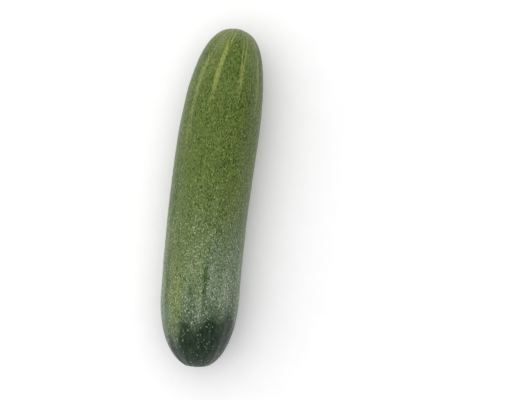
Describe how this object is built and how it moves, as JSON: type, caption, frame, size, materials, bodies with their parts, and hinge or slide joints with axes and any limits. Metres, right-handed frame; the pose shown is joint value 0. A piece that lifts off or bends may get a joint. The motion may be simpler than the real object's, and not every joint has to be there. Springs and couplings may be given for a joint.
{
  "type": "cucumber",
  "caption": "Fresh whole cucumber lying on its side, slightly bowed, with shallow grooves from end to end, a cut stub in a dimple at one end and a small flower scar at the other.",
  "frame": {"origin": "on the ground under the middle of the fruit's footprint", "axes": "+Y along the fruit towards its blossom end, +X to its right seen from above with +Y up, +Z up from the surface that it lies on. The body bows towards -X"},
  "size_m": [0.0458, 0.1906, 0.0449],
  "materials": {
    "skin": "smooth waxy skin with a soft gloss, olive green with pale stripes at the blossom end, speckled along the body and near-black green at the stem end"
  },
  "bodies": {
    "root": {"cucumber": "skin"}
  },
  "joints": []
}
